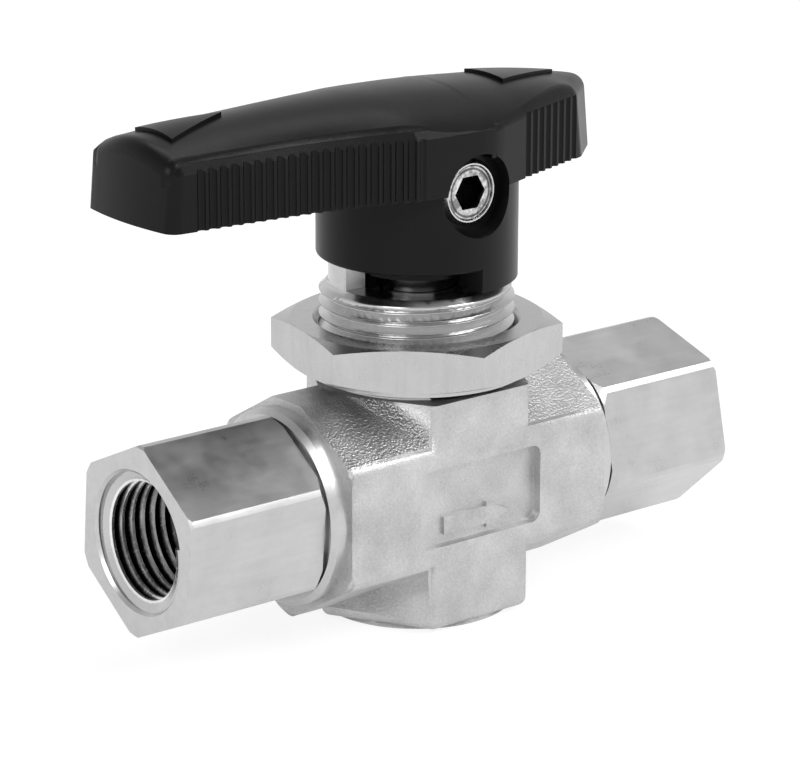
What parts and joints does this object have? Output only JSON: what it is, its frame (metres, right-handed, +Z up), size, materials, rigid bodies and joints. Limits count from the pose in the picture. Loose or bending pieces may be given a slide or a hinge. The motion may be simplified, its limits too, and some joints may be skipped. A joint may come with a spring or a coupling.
{
  "type": "panel-mount ball valve",
  "caption": "Quarter-turn two-way ball valve with hexagonal end connectors, a threaded panel-mounting neck with its nut, and a black lever handle.",
  "frame": {"origin": "centre of the flat round underside of the body, on the stem axis", "axes": "+X along the flow from inlet to outlet, +Y away from the side with the arrow panel, +Z up along the stem to the handle"},
  "size_m": [0.1069, 0.044, 0.083],
  "materials": {
    "cast_steel": "investment-cast stainless steel, blasted and finely grained",
    "machined_steel": "turned and milled stainless steel",
    "polished_steel": "polished stainless steel",
    "nut_steel": "milled hexagon bar, bright",
    "spring_steel": "hardened strip",
    "insert_steel": "turned",
    "screw_steel": "bright, turned",
    "handle_nylon": "moulded black nylon, fine matt grain",
    "seat_polymer": "machined white polymer",
    "bearing_polymer": "machined tan polymer",
    "seal_rubber": "smooth moulded rubber"
  },
  "bodies": {
    "valve_body": {"body": "cast_steel", "inlet_connector": "machined_steel", "outlet_connector": "machined_steel", "inlet_connector_oring": "seal_rubber", "inlet_seat": "seat_polymer", "inlet_seat_carrier": "machined_steel", "inlet_seat_oring": "seal_rubber", "inlet_disc_springs": "spring_steel", "outlet_connector_oring": "seal_rubber", "outlet_seat": "seat_polymer", "outlet_seat_carrier": "machined_steel", "outlet_seat_oring": "seal_rubber", "outlet_disc_springs": "spring_steel", "lower_bearing": "bearing_polymer", "upper_bearing": "bearing_polymer", "gland": "machined_steel", "stem_oring": "seal_rubber", "stem_backup_ring": "seat_polymer", "gland_oring": "seal_rubber", "retainer_nut": "machined_steel"},
    "rotor": {"ball_stem": "polished_steel", "handle": "handle_nylon", "handle_insert": "insert_steel", "set_screw": "screw_steel"},
    "nut": {"panel_nut": "nut_steel"}
  },
  "joints": [
    {"name": "handle_turn", "type": "hinge", "parent": "valve_body", "child": "rotor", "pos_m": [0, 0, 0.0204], "axis": [0, 0, 1], "range_deg": [-90, 0]},
    {"name": "nut_travel", "type": "slide", "parent": "valve_body", "child": "nut", "axis": [0, 0, 1], "range_m": [-0.001, 0.006]}
  ]
}
